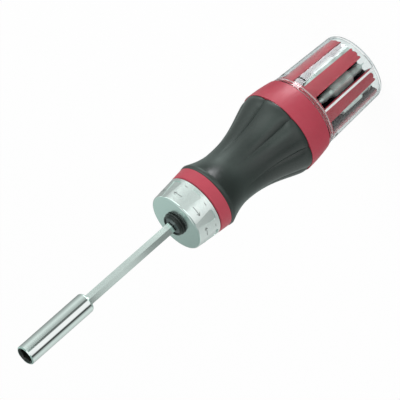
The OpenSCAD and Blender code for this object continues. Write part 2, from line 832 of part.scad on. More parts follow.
// Flat between two pads, towards +X: wide and deep where it starts, narrow and shallow at the front
module pad_gap() {
    low_z = ring_z + pad_rim_len;
    low_r = ring_rear_r - (ring_rear_r - ring_front_r) * pad_rim_len / ring_len - pad_gap_rear;
    high_r = ring_front_r - pad_gap_front;
    corner_y = pad_gap_w / 2 - pad_corner_r;
    corner_z = low_z + pad_corner_r;
    intersection() {
        translate([0, pad_gap_w / 2, 0])
            rotate([90, 0, 0])
                linear_extrude(pad_gap_w)
                    polygon([
                        [low_r, low_z],
                        [ring_rear_r + over, low_z],
                        [ring_rear_r + over, ring_face_z + over],
                        [high_r, ring_face_z + over],
                        [high_r, ring_face_z]
                    ]);
        rotate([90, 0, 90])
            linear_extrude(ring_rear_r + 2 * over)
                polygon(concat(
                    arc(-corner_y, corner_z, pad_corner_r, 180, 270),
                    arc(corner_y, corner_z, pad_corner_r, 270, 360),
                    [
                        [pad_gap_front_w / 2, ring_face_z],
                        [pad_gap_front_w / 2, ring_face_z + over],
                        [-pad_gap_front_w / 2, ring_face_z + over],
                        [-pad_gap_front_w / 2, ring_face_z]
                    ]
                ));
    }
}

module snap_ring() color("dimgray") {
    translate([0, 0, snap_ring_z])
        rotate([0, 0, 180])
            wire_ring(nose_r, snap_wire_r - seat_fit, 30);
}

// Hexagonal shank with its clip groove
shank_top_z = tip_z - socket_depth - magnet_t - seat_fit;
module shank() color("silver") {
    difference() {
        translate([0, 0, shank_low_z])
            rotate([0, 0, shank_turn])
                hex_prism(shank_af, shank_top_z - shank_low_z);
        translate([0, 0, clip_z])
            difference() {
                cylinder(h = clip_t, r = shank_af);
                translate([0, 0, -over])
                    cylinder(h = clip_t + 2 * over, r = shank_af / 2 - clip_groove);
            }
    }
}

// Sleeve with a hexagonal socket at the tip and the shank's seat behind
socket_play = 0.05;
socket_af = bit_af + 2 * socket_play;
socket_ring_reach = 5.5;
socket_wire_r = 0.4;
socket_ring_r = socket_af * hex_share;
mouth_lead = 1.2;

module bit_sleeve() color("lightgray") {
    difference() {
        rotate_extrude()
            polygon(concat(
                [[0, sleeve_z]],
                arc(sleeve_r - sleeve_rear_edge_r, sleeve_z + sleeve_rear_edge_r, sleeve_rear_edge_r, -90, 0),
                [
                    [sleeve_r, tip_z - sleeve_mouth_chamfer],
                    [sleeve_r - sleeve_mouth_chamfer, tip_z],
                    [0, tip_z]
                ]
            ));
        translate([0, 0, tip_z - socket_depth])
            rotate([0, 0, shank_turn])
                hex_prism(socket_af, socket_depth + over);
        translate([0, 0, shank_top_z - over])
            cylinder(h = tip_z - socket_depth - shank_top_z + 2 * over, r = magnet_r + seat_fit);
        translate([0, 0, sleeve_z - over])
            rotate([0, 0, shank_turn])
                hex_prism(shank_af + 2 * seat_fit, shank_top_z - sleeve_z + over);
        translate([0, 0, tip_z - mouth_lead])
            cylinder(h = mouth_lead + over, r1 = socket_af / 2, r2 = socket_af / 2 + mouth_lead + over);
        translate([0, 0, tip_z - socket_ring_reach - socket_wire_r - seat_fit])
            cylinder(h = 2 * (socket_wire_r + seat_fit), r = socket_ring_r + socket_wire_r + seat_fit);
    }
}
magnet_share = 0.44;
magnet_r = bit_af * magnet_share;

module socket_ring() color("silver") {
    translate([0, 0, tip_z - socket_ring_reach])
        wire_ring(socket_ring_r, socket_wire_r, 50);
}

module socket_magnet() color("slategray") {
    translate([0, 0, tip_z - socket_depth - magnet_t])
        cylinder(h = magnet_t, r = magnet_r);
}

clear_cap();
bit_core();
stored_bit(0);  // bit_1
stored_bit(1);  // bit_2
stored_bit(2);  // bit_3
stored_bit(3);  // bit_4
stored_bit(4);  // bit_5
stored_bit(5);  // bit_6
stored_bit(6);  // bit_7
stored_bit(7);  // bit_8
handle_body();
grip();
gear_case();
rear_bearing();
thrust_ball();
ratchet_gear();
shank_clip();
pawl();
pawl_pin();
plunger();
plunger_spring();
selector_ring();
snap_ring();
shank();
bit_sleeve();
socket_ring();
socket_magnet();
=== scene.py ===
# %% [markdown]
# A ratcheting screwdriver with its bits in the handle
#
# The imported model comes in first, as a frame that is never moved. This lesson then gives every piece the
# finish of the real one, swaps the grip and a spring for finer meshes, paints arrows on the selector ring,
# and sets up the light and the camera. The tool stands on the flat end of its clear cap, and +Z runs to the
# bit socket.

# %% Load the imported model
import math

import bmesh
import bpy
from mathutils import Matrix, Vector


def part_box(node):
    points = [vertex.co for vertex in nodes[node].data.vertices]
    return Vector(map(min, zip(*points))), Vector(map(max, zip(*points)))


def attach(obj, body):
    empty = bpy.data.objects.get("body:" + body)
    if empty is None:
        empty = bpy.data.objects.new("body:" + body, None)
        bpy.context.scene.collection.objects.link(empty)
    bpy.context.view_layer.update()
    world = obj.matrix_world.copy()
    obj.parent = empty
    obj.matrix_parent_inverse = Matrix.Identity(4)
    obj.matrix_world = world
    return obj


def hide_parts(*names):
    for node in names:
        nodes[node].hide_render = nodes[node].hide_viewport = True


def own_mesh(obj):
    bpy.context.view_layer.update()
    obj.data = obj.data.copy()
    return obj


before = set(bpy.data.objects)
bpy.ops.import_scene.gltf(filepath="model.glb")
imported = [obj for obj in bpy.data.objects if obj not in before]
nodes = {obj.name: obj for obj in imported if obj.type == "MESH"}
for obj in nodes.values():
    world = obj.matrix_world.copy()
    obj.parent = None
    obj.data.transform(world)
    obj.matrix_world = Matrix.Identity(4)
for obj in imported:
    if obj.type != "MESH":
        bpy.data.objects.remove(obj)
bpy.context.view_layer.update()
for name in sorted(nodes):
    mesh = nodes[name].data
    print(name, len(mesh.vertices), "vertices", len(mesh.polygons), "faces")

# %% [markdown]
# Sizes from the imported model
#
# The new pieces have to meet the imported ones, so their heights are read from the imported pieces' boxes and
# not typed again. Sizes of the shapes stay in millimetres, because that is how a maker reads them, and one
# factor turns them into Blender's metres.

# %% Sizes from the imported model
MM = 0.001


def corners(node):
    """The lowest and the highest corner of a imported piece's box, in metres."""
    return [Vector(corner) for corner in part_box(node)]


def heights(node):
    """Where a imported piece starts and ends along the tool, in millimetres."""
    low, high = corners(node)
    return low.z / MM, high.z / MM


SHOULDER = heights("handle_body")[0]
SKIN_REAR, SKIN_FRONT = heights("grip")
RING_BACK, RING_FACE = heights("selector_ring")
print("the grip is", round(SKIN_FRONT - SKIN_REAR, 2), "mm long")
print("the ring is", round(RING_FACE - RING_BACK, 2), "mm long")

# %% [markdown]
# Helpers for materials
#
# Each finish is a small tree of nodes. It could be painted on with a picture, but a noise texture on the
# Object coordinates needs no unwrapping, and it stays with the piece when it moves, so wear and grain don't
# slide. These helpers keep the trees short to read.

# %% Start a finish, or open one again
def start_finish(name):
    """A new material with one Principled shader, returned with its tree, shader and Object coordinates."""
    material = bpy.data.materials.new(name)
    material.use_nodes = True
    tree = material.node_tree
    tree.nodes.clear()
    output = tree.nodes.new("ShaderNodeOutputMaterial")
    shader = tree.nodes.new("ShaderNodeBsdfPrincipled")
    place = tree.nodes.new("ShaderNodeTexCoord")
    tree.links.new(shader.outputs["BSDF"], output.inputs["Surface"])
    return material, tree, shader, place.outputs["Object"]


def open_finish(material):
    """The tree, shader, Object coordinates and colour of a finish, to build on it."""
    tree = material.node_tree
    shader = next(node for node in tree.nodes if node.type == "BSDF_PRINCIPLED")
    place = next(node for node in tree.nodes if node.type == "TEX_COORD")
    return tree, shader, place.outputs["Object"], shader.inputs["Base Color"].links[0].from_socket


# %% Patterns and mixes
EVEN, PARTLY_ALONG, ALONG = (1, 1, 1), (1, 1, 0.3), (1, 1, 0.04)


def grain(tree, place, scale, detail=3.0, stretch=EVEN):
    """A noise pattern with so many features a metre, drawn out along an axis where stretch is under 1."""
    mapping = tree.nodes.new("ShaderNodeMapping")
    mapping.inputs["Scale"].default_value = stretch
    noise = tree.nodes.new("ShaderNodeTexNoise")
    noise.inputs["Scale"].default_value = scale
    noise.inputs["Detail"].default_value = detail
    tree.links.new(place, mapping.inputs["Vector"])
    tree.links.new(mapping.outputs["Vector"], noise.inputs["Vector"])
    return noise.outputs["Fac"]


def spread(tree, value, low, high, new_low, new_high):
    """Moves a range of values to another range, smoothly and without leaving it."""
    node = tree.nodes.new("ShaderNodeMapRange")
    node.interpolation_type = "SMOOTHSTEP"
    for socket, number in zip(("From Min", "From Max", "To Min", "To Max"), (low, high, new_low, new_high)):
        node.inputs[socket].default_value = number
    tree.links.new(value, node.inputs["Value"])
    return node.outputs["Result"]


def mixed(tree, share, first, second):
    """A colour between first and second, each a colour or an output."""
    node = tree.nodes.new("ShaderNodeMix")
    node.data_type = "RGBA"
    tree.links.new(share, node.inputs["Factor"])
    for socket, colour in (("A", first), ("B", second)):
        target = [s for s in node.inputs if s.name == socket and s.type == "RGBA"][0]
        if isinstance(colour, tuple):
            target.default_value = (*colour, 1)
        else:
            tree.links.new(colour, target)
    return [s for s in node.outputs if s.type == "RGBA"][0]


def relief(tree, shader, height, strength, depth):
    """A bump of that depth in metres, from a height between 0 and 1."""
    node = tree.nodes.new("ShaderNodeBump")
    node.inputs["Strength"].default_value = strength
    node.inputs["Distance"].default_value = depth
    tree.links.new(height, node.inputs["Height"])
    tree.links.new(node.outputs["Normal"], shader.inputs["Normal"])


# %% Sums and places
def maths(tree, operation, *values):
    """The result of a Math node, from numbers or outputs."""
    node = tree.nodes.new("ShaderNodeMath")
    node.operation = operation
    for socket, value in zip(node.inputs, values):
        if isinstance(value, (int, float)):
            socket.default_value = value
        else:
            tree.links.new(value, socket)
    return node.outputs["Value"]


def between(tree, value, limits, soft):
    """1 where a value lies between two limits, and 0 outside, with soft edges of that width."""
    low, high = limits
    rise = spread(tree, value, low - soft, low, 0, 1)
    return maths(tree, "MULTIPLY", rise, spread(tree, value, high, high + soft, 1, 0))


def parts_of(tree, place):
    """The x, y and z of a place."""
    node = tree.nodes.new("ShaderNodeSeparateXYZ")
    tree.links.new(place, node.inputs["Vector"])
    return node.outputs["X"], node.outputs["Y"], node.outputs["Z"]


def distance_from_axis(tree, place):
    """How far a point is from the tool's axis, in metres."""
    flat = tree.nodes.new("ShaderNodeVectorMath")
    flat.operation = "MULTIPLY"
    flat.inputs[1].default_value = (1, 1, 0)
    length = tree.nodes.new("ShaderNodeVectorMath")
    length.operation = "LENGTH"
    tree.links.new(place, flat.inputs[0])
    tree.links.new(flat.outputs["Vector"], length.inputs[0])
    return length.outputs["Value"]

# %% [markdown]
# Clear plastic
#
# The cap is a hard clear plastic, a little thicker than a millimetre. It could be a thin see-through skin,
# but real refraction bends the red core out to the cap's edge, so the shader transmits light at the index
# of that plastic. Its end wall and its corner are looked through the long way, which leaves them greyer.
# The rim and one cut side of the window are frosted white as a painted highlight, where the real cap
# catches the light along those edges. Glass would keep the lamps from what it covers, so rays to the
# lamps pass through it, as they nearly do through the real cap.

# %% Where the cap's wall changes
END_WALL = 0.8 * MM, 2.0 * MM
CORNER_R = 15.5 * MM, 16.2 * MM
RIM = 36.4 * MM, 36.7 * MM
WINDOW = 1.5 * MM, 35.7 * MM
SILL = -4.7 * MM, -3.7 * MM
RIM_SOFT, SILL_SOFT, WINDOW_SOFT = 0.2 * MM, 0.08 * MM, 0.3 * MM
# The frost is a painted highlight: the rim gets this share of it, and it takes clearness away and adds
# roughness
RIM_HIGHLIGHT_FROST, FROST_HAZE, FROST_ROUGH = 0.35, 0.8, 0.4
CLEAR, PALE, SMOKY, EDGE = (0.97, 0.99, 0.985), (0.74, 0.84, 0.83), (0.40, 0.52, 0.53), (0.50, 0.62, 0.63)
print("the window runs from", round(WINDOW[0] / MM, 1), "to", round(WINDOW[1] / MM, 1), "mm")


# %% Frost as a painted highlight on the window's side and the rim
def frosted_highlight(tree, place):
    """Painted highlight as frost: fully on one side of the cap's window, less on its rim, and nowhere else.
    """
    x, y, z = parts_of(tree, place)
    rim = maths(tree, "MULTIPLY", between(tree, z, RIM, RIM_SOFT), RIM_HIGHLIGHT_FROST)
    # Only one cut side of the window, the one that catches the light, gets the painted highlight
    sill_highlight = between(tree, x, SILL, SILL_SOFT)
    sill_highlight = maths(tree, "MULTIPLY", sill_highlight, maths(tree, "LESS_THAN", y, 0))
    sill_highlight = maths(tree, "MULTIPLY", sill_highlight, between(tree, z, WINDOW, WINDOW_SOFT))
    return maths(tree, "MAXIMUM", sill_highlight, rim)


# %% Rays to the lamps
def let_lamps_through(tree, shader, colour):
    """Lets the rays to the lamps pass a shader, in that colour, and shows the shader to all others."""
    passed = tree.nodes.new("ShaderNodeBsdfTransparent")
    passed.inputs["Color"].default_value = (*colour, 1)
    rays = tree.nodes.new("ShaderNodeLightPath")
    mix = tree.nodes.new("ShaderNodeMixShader")
    output = next(node for node in tree.nodes if node.type == "OUTPUT_MATERIAL")
    tree.links.new(rays.outputs["Is Shadow Ray"], mix.inputs[0])
    tree.links.new(shader.outputs["BSDF"], mix.inputs[1])
    tree.links.new(passed.outputs["BSDF"], mix.inputs[2])
    tree.links.new(mix.outputs["Shader"], output.inputs["Surface"])


# %% Clear plastic
CAP_IOR, CAP_RIPPLE = 1.53, 0.2 * MM
LAMP_TINT = (0.88, 0.92, 0.91)


def clear_plastic():
    material, tree, shader, place = start_finish("clear_cap_plastic")
    facing = tree.nodes.new("ShaderNodeLayerWeight")
    facing.inputs["Blend"].default_value = 0.28
    edge = spread(tree, facing.outputs["Facing"], 0.30, 0.60, 0, 1)
    end_wall = spread(tree, parts_of(tree, place)[2], *END_WALL, 1, 0)
    corner = spread(tree, distance_from_axis(tree, place), *CORNER_R, 0, 1)
    body = mixed(tree, end_wall, CLEAR, mixed(tree, corner, PALE, SMOKY))
    tree.links.new(mixed(tree, edge, body, EDGE), shader.inputs["Base Color"])
    shader.inputs["IOR"].default_value = CAP_IOR
    # Painted highlight: the frost whitens the rim and one cut side of the window
    painted_frost = frosted_highlight(tree, place)
    clearness = maths(tree, "MULTIPLY_ADD", painted_frost, -FROST_HAZE, 1.0)
    tree.links.new(clearness, shader.inputs["Transmission Weight"])
    scuffs = spread(tree, grain(tree, place, 420, 4, PARTLY_ALONG), 0.45, 0.75, 0.02, 0.1)
    dull = maths(tree, "MAXIMUM", scuffs, maths(tree, "MULTIPLY", painted_frost, FROST_ROUGH))
    tree.links.new(dull, shader.inputs["Roughness"])
    relief(tree, shader, grain(tree, place, 160, 2), 0.05, CAP_RIPPLE)
    let_lamps_through(tree, shader, LAMP_TINT)
    return material


cap_finish = clear_plastic()
print("made", cap_finish.name, "with", len(cap_finish.node_tree.nodes), "nodes")

# %% [markdown]
# Red plastic
#
# The handle's body is moulded in a semi-matt crimson. One flat colour would look like paint, so two near
# reds drift into each other where the plastic flowed, and fine handling marks break up the sheen.

# %% Red plastic
HANDLE_IOR, MOULD_GRAIN = 1.5, 0.05 * MM


def red_plastic(name, colour, deep):
    material, tree, shader, place = start_finish(name)
    flow = spread(tree, grain(tree, place, 70, 3), 0.3, 0.7, 0, 1)
    tree.links.new(mixed(tree, flow, deep, colour), shader.inputs["Base Color"])
    marks = grain(tree, place, 900, 5)
    tree.links.new(spread(tree, marks, 0.35, 0.7, 0.34, 0.5), shader.inputs["Roughness"])
    shader.inputs["IOR"].default_value = HANDLE_IOR
    relief(tree, shader, grain(tree, place, 2600, 3), 0.12, MOULD_GRAIN)
    return material


handle_finish = red_plastic("handle_red_plastic", (0.49, 0.048, 0.080), (0.45, 0.043, 0.072))
print("made", handle_finish.name)

# %% [markdown]
# The core's plastic
#
# The core under the cap is the same red on its lands. Deep in the slots almost no light comes back, and the
# real ones look nearly black. Many bounces of light could darken them, but a painted shade that follows the
# distance under the lands' surface is quicker and the same in every view. The lands lean outwards a
# little, so their radius grows with the height. Under the cap light also meets the core through a film of
# air and plastic, and a lower index keeps its gloss down.

# %% Core plastic
LAND_FOOT_R, LAND_LEAN = 16.27 * MM, 0.0462
SLOT_SHADE = 0.2 * MM, 1.1 * MM
SLOT_TOP = 35.3 * MM, 35.6 * MM
CORE_IOR, SLOT_PAINTED_SHADE = 1.33, (0.010, 0.004, 0.010)


def core_plastic():
    material = red_plastic("core_red_plastic", (0.47, 0.036, 0.060), (0.42, 0.030, 0.052))
    tree, shader, place, lit = open_finish(material)
    shader.inputs["IOR"].default_value = CORE_IOR
    height = parts_of(tree, place)[2]
    land_r = maths(tree, "MULTIPLY_ADD", height, LAND_LEAN, LAND_FOOT_R)
    depth = maths(tree, "SUBTRACT", land_r, distance_from_axis(tree, place))
    # Painted shade: the slots' walls turn near black with their depth under the lands, up to near the core's
    # top
    deep = spread(tree, depth, *SLOT_SHADE, 0, 1)
    deep = maths(tree, "MULTIPLY", deep, spread(tree, height, *SLOT_TOP, 1, 0))
    tree.links.new(mixed(tree, deep, lit, SLOT_PAINTED_SHADE), shader.inputs["Base Color"])
    return material


core_finish = core_plastic()
print("made", core_finish.name)

# %% [markdown]
# Rubber
#
# The grip is a soft rubber, a black with a breath of green. Hands leave it lighter in broad patches and
# give it a dull gloss, which a middling roughness shows better than a fully matt surface would. The mould
# left a fine grain on it.

# %% Rubber
RUBBER_IOR = 1.56


def rubber():
    material, tree, shader, place = start_finish("grip_rubber")
    patches = spread(tree, grain(tree, place, 55, 4), 0.35, 0.7, 0, 1)
    worn = mixed(tree, patches, (0.014, 0.022, 0.019), (0.018, 0.028, 0.024))
    tree.links.new(worn, shader.inputs["Base Color"])
    hands = grain(tree, place, 700, 4)
    tree.links.new(spread(tree, hands, 0.3, 0.7, 0.31, 0.37), shader.inputs["Roughness"])
    shader.inputs["IOR"].default_value = RUBBER_IOR
    relief(tree, shader, grain(tree, place, 3200, 3), 0.08, MOULD_GRAIN)
    return material


rubber_finish = rubber()
print("made", rubber_finish.name)

# %% [markdown]
# Metals
#
# All the metals share one recipe: a colour, a roughness that wanders between two values, and a grain.
# The grain of drawn or ground steel runs along the piece, so its noise is stretched along Z. A cast piece
# has it the same in all directions.

# %% The recipe for a metal
METAL_GRAIN, PATCHES_BROADER = 0.03 * MM, 6


def metal(name, colour, rough, scale, stretch=EVEN, tint=None, depth=METAL_GRAIN, strength=0.2, share=1.0):
    """A metal finish, which drifts to its tint in broad patches where it has one. Its share of bare metal
    is under 1 where a dull skin of oxide or oil lies on it."""
    material, tree, shader, place = start_finish(name)
    shader.inputs["Metallic"].default_value = share
    shader.inputs["Base Color"].default_value = (*colour, 1)
    if tint:
        patches = spread(tree, grain(tree, place, scale / PATCHES_BROADER, 3), 0.3, 0.7, 0, 1)
        tree.links.new(mixed(tree, patches, tint, colour), shader.inputs["Base Color"])
    marks = grain(tree, place, scale, 4, stretch)
    tree.links.new(spread(tree, marks, 0.3, 0.72, *rough), shader.inputs["Roughness"])
    relief(tree, shader, marks, strength, depth)
    return material

# %% [markdown]
# Bright metals
#
# The sleeve is chromed and almost a mirror, the shank is ground, and the selector ring is a cast zinc with
# a satin plating. A mirror shows every bump, so the grain of these three is kept very shallow. The bits are
# duller, because a skin of oxide lies on them, and small turned and ground pieces fill the mechanism.

# %% Bright metals
SHALLOW, CHROME_GRAIN = 0.004 * MM, 0.01 * MM
shank_finish = metal(
    "shank_satin_steel", (0.73, 0.82, 0.79), (0.13, 0.16), 900, ALONG, (0.70, 0.79, 0.76), SHALLOW, 0.04)
ring_finish = metal(
    "ring_satin_zinc", (0.82, 0.88, 0.86), (0.20, 0.25), 2400, EVEN, (0.79, 0.86, 0.84), SHALLOW, 0.04)
bit_finish = metal(
    "bit_satin_steel", (0.62, 0.72, 0.69), (0.28, 0.40), 1500, PARTLY_ALONG, (0.46, 0.54, 0.51), share=0.55)
ground_finish = metal("ground_steel", (0.72, 0.72, 0.73), (0.10, 0.2), 1600)
wire_finish = metal("spring_wire", (0.55, 0.56, 0.56), (0.2, 0.3), 2000)
print("made the shank's, the ring's and the bits' metals")

# %% [markdown]
# Chrome with a dark socket
#
# The sleeve is chromed outside, and inside its socket it is dark with oil and with painted shade, where the
# deep bore lets little light back. It could be two materials on two sets of faces, but the imported mesh
# has one slot. The distance from the axis tells the two apart, because the whole socket lies within a
# radius that the outside never reaches.

# %% Chrome with a dark socket
SOCKET_REACH, SOCKET_SOFT = 4.4 * MM, 0.1 * MM


def bored(material, reach, soft, dark):
    """Darkens a turned piece inside that distance from its axis, where oil and painted shade leave no shine.
    """
    tree, shader, place, lit = open_finish(material)
    inside = spread(tree, distance_from_axis(tree, place), reach - soft, reach, 1, 0)
    tree.links.new(mixed(tree, inside, lit, dark), shader.inputs["Base Color"])
    tree.links.new(maths(tree, "SUBTRACT", 1.0, inside), shader.inputs["Metallic"])
    return material


chrome_finish = metal(
    "sleeve_chrome", (0.80, 0.90, 0.865), (0.05, 0.09), 900, ALONG, (0.77, 0.87, 0.84), CHROME_GRAIN, 0.08)
# Oil and painted shade: the socket's inside goes near black and loses its metal shine
chrome_finish = bored(chrome_finish, SOCKET_REACH, SOCKET_SOFT, (0.012, 0.014, 0.012))
print("made", chrome_finish.name)

# %% [markdown]
# Dark metals and paint
#
# The pawl and the gear are hardened steel under oil, the bearing is a sintered bronze, and the magnet is
# plated. The gear case and the snap ring have a black surface treatment, which wears to a faint brown. The
# arrows on the ring are sunk and filled with a dark grey paint, so that finish is no metal at all.

# %% Dark metals and paint
BLACKED_GRAIN, BLACKED_SPREAD = 0.04 * MM, 0.14


def blackened(name, rough):
    """A black surface treatment on steel or zinc, with a faint brown where it wears."""
    material, tree, shader, place = start_finish(name)
    wear = spread(tree, grain(tree, place, 500, 4), 0.45, 0.8, 0, 1)
    worn = mixed(tree, wear, (0.010, 0.013, 0.012), (0.030, 0.032, 0.030))
    tree.links.new(worn, shader.inputs["Base Color"])
    marks = grain(tree, place, 1400, 4)
    tree.links.new(spread(tree, marks, 0.3, 0.7, rough, rough + BLACKED_SPREAD), shader.inputs["Roughness"])
    relief(tree, shader, grain(tree, place, 2600, 3), 0.15, BLACKED_GRAIN)
    return material


dark_finish = metal("oiled_steel", (0.22, 0.22, 0.23), (0.28, 0.42), 1400, tint=(0.16, 0.16, 0.17))
bronze_finish = metal("bearing_bronze", (0.52, 0.34, 0.17), (0.35, 0.5), 1500, tint=(0.40, 0.25, 0.12))
magnet_finish = metal("magnet_plate", (0.30, 0.30, 0.31), (0.3, 0.45), 1400)
case_finish = blackened("case_black", 0.16)
snap_finish = blackened("snap_ring_black", 0.2)
paint_finish = metal(
    "arrow_paint", (0.22, 0.25, 0.24), (0.4, 0.55), 1500, tint=(0.15, 0.17, 0.16), share=0.0)
print("made the dark metals and the paint")

# %% [markdown]
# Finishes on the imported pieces
#
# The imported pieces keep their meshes, so all that happens here is that their one material slot is filled
# with the finish of the real piece.

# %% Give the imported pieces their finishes
finishes = {
    "clear_cap": cap_finish, "bit_core": core_finish, "handle_body": handle_finish, "grip": rubber_finish,
    "gear_case": case_finish, "rear_bearing": bronze_finish, "thrust_ball": ground_finish,
    "ratchet_gear": dark_finish, "shank_clip": dark_finish, "pawl": dark_finish, "pawl_pin": ground_finish,
    "plunger": ground_finish, "plunger_spring": wire_finish, "selector_ring": ring_finish,
    "snap_ring": snap_finish, "shank": shank_finish, "bit_sleeve": chrome_finish,
    "socket_ring": wire_finish, "socket_magnet": magnet_finish,
}
finishes.update({f"bit_{i}": bit_finish for i in range(1, 9)})
for name, material in finishes.items():
    slots = nodes[name].data.materials
    slots.clear()
    slots.append(material)
print("finished", len(finishes), "packed pieces")

# %% [markdown]
# The handle's outline
#
# From the cap to the ring the outline rises over a shoulder to its widest place, falls to a narrow waist,
# and flares again at the front. A spline could follow it, but four short formulas meet each other without
# a kink and are easier to change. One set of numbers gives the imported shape, which the rubber's inner side
# must clear, and another gives the outline as it is seen on the real tool.

# %% The handle's outline
SKIN_CLEAR = 0.04
GRIP_REAR, GRIP_FRONT = SKIN_REAR - SKIN_CLEAR, SKIN_FRONT + SKIN_CLEAR
SHOULDER_R, SHOULDER_POWER = 20.0, 1.8
# Heights of the widest place, the waist and the front lip, the radii there, the radius at the grip's front
# edge, and the powers that shape the fall to the waist and the flare after it
PACKED = (54.01, 86.21, 99.84, 21.65, 13.8, 17.1, 16.6, 0.76, 1.9)
SEEN = (54.15, 87.40, 100.04, 21.62, 13.82, 17.0, 16.55, 0.65, 1.71)


def handle_r(z, shape=SEEN):
    """Radius of the handle's outline at height z, in millimetres, by one of the two shapes."""
    crown, waist, lip, ball_r, waist_r, lip_r, front_r, ball_power, lip_power = shape
    if z < crown:
        return ball_r - (ball_r - SHOULDER_R) * ((crown - z) / (crown - SHOULDER)) ** SHOULDER_POWER
    if z < waist:
        fall = math.cos(math.pi * ((z - crown) / (waist - crown)) ** ball_power)
        return waist_r + (ball_r - waist_r) * (1 + fall) / 2
    if z < lip:
        return waist_r + (lip_r - waist_r) * ((z - waist) / (lip - waist)) ** lip_power
    return lip_r - (lip_r - front_r) * ((z - lip) / (GRIP_FRONT - lip)) ** 2


print("radii along the grip:", [round(handle_r(z), 1) for z in range(55, 101, 5)])

# %% [markdown]
# The grip's creases
#
# The real grip has eight creases that start deep at the widest place and fade out past the waist. Each is a
# broad hollow with a narrow groove at its bottom. Cutting them with eight tools would leave hard edges, so
# a formula says how far each point of a smooth skin is drawn in.

# %% The grip's creases
CREASES, CREASE_TURN, CREASE_LEN = 8, 11.5, 38.0
HOLLOW_DEPTH, HOLLOW_POWER = 1.45, 1.25
GROOVE_DEPTH, GROOVE_POWER = 0.6, 5
REAR_SHARE, REAR_LEN = 0.45, 9


def crease_depth(z, degrees):
    """How far the grip's surface lies under the handle's outline at height z and that angle."""
    fade = max(0, min(1, (GRIP_REAR + CREASE_LEN - z) / CREASE_LEN))
    side = 1 - abs(math.sin(math.radians(CREASES * (degrees - CREASE_TURN) / 2)))
    rise = min(1, REAR_SHARE + (z - GRIP_REAR) / REAR_LEN)
    section = HOLLOW_DEPTH * side ** HOLLOW_POWER + GROOVE_DEPTH * side ** GROOVE_POWER
    return rise * fade * fade * (3 - 2 * fade) * section


print("a crease is", round(max(crease_depth(z, CREASE_TURN) for z in range(53, 90)), 2), "mm deep at most")

# %% [markdown]
# Helpers for new pieces
#
# A turned piece is easiest to draw as half of its section, which a spin then carries round the axis. A full
# spin merges its last step with its first. Every new piece also has to say which body it rides on, so that
# it moves with the right joint.

# %% Helpers for new pieces
# Points nearer than this, in metres, become one. An edge turned by more than this, in radians, stays sharp.
MERGE, SHARP = 1e-7, 0.7


def spun(bm, outline, steps, start_degrees=0.0):
    """Spins a closed outline of (radius, height) points in millimetres round the Z axis."""
    c, s = math.cos(math.radians(start_degrees)), math.sin(math.radians(start_degrees))
    loop = [bm.verts.new((r * c * MM, r * s * MM, z * MM)) for r, z in outline]
    edges = [bm.edges.new(pair) for pair in zip(loop, loop[1:] + loop[:1])]
    bmesh.ops.spin(
        bm, geom=loop + edges, cent=(0, 0, 0), axis=(0, 0, 1), angle=math.tau, steps=steps, use_merge=True)
    bmesh.ops.remove_doubles(bm, verts=bm.verts, dist=MERGE)
    bmesh.ops.recalc_face_normals(bm, faces=bm.faces)


def piece(name, bm, body, material):
    """Makes a finished piece of a bmesh: smooth but for its sharp edges, riding on a body."""
    mesh = bpy.data.meshes.new(name)
    bm.to_mesh(mesh)
    bm.free()
    mesh.shade_smooth()
    mesh.set_sharp_from_angle(angle=SHARP)
    obj = bpy.data.objects.new(name, mesh)
    bpy.context.scene.collection.objects.link(obj)
    mesh.materials.append(material)
    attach(obj, body)
    print(name, len(mesh.vertices), "vertices", len(mesh.polygons), "faces")
    return obj

# %% [markdown]
# The rubber grip
#
# The rubber is moulded over the core in one skin of even thickness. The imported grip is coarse, so a finer
# skin stands for it. Its section runs up the outside and back down the inside, with its two lips rounded,
# and is spun round the axis. Every outside point is then drawn in by the depth of the creases.

# %% Section of the grip
GRIP_T, LIP_ROUND, ROUND_SHARE = 2.3, 0.25, 0.3
SKIN_STEPS, SKIN_RINGS, INNER_RINGS = 384, 60, 40


def rounded_lip(z, inwards):
    """The two points of a rounded lip, from its end at height z, with inwards 1 or -1 along the tool."""
    r = handle_r(z)
    return [(r - LIP_ROUND, z), (r - LIP_ROUND * ROUND_SHARE, z + inwards * LIP_ROUND * ROUND_SHARE)]


straight = SKIN_FRONT - SKIN_REAR - 2 * LIP_ROUND
rings = [SKIN_REAR + LIP_ROUND + straight * i / SKIN_RINGS for i in range(SKIN_RINGS + 1)]
outside = rounded_lip(SKIN_REAR, 1) + [(handle_r(z), z) for z in rings] + rounded_lip(SKIN_FRONT, -1)[::-1]
back = [GRIP_FRONT + (GRIP_REAR - GRIP_FRONT) * i / INNER_RINGS for i in range(INNER_RINGS + 1)]
inside = [(handle_r(z, PACKED) - GRIP_T + SKIN_CLEAR, max(SKIN_REAR, min(SKIN_FRONT, z))) for z in back]
print("the section has", len(outside) + len(inside), "points")

# %% Grip skin
bm = bmesh.new()
spun(bm, outside + inside, SKIN_STEPS, CREASE_TURN)
for vert in bm.verts:
    x, y, z = (v / MM for v in vert.co)
    r = math.hypot(x, y)
    if r > handle_r(z) - GRIP_T / 3:
        drawn = 1 - crease_depth(z, math.degrees(math.atan2(y, x))) / r
        vert.co.x, vert.co.y = x * drawn * MM, y * drawn * MM
grip_skin = piece("grip_skin", bm, "handle", rubber_finish)
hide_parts("grip")

# %% [markdown]
# The plunger's spring
#
# Behind the ring's wall a small coil spring pushes the plunger against the pawl. Nobody sees it, but it has
# to give way when the plunger is pressed. A screw motion, a spin with a little travel at each step, draws
# the wire along its coil.

# %% Spring coil
SPRING_TURNS, SPRING_STEPS = 3, 24
WIRE, WIRE_SIDES = 0.3 * MM, 10

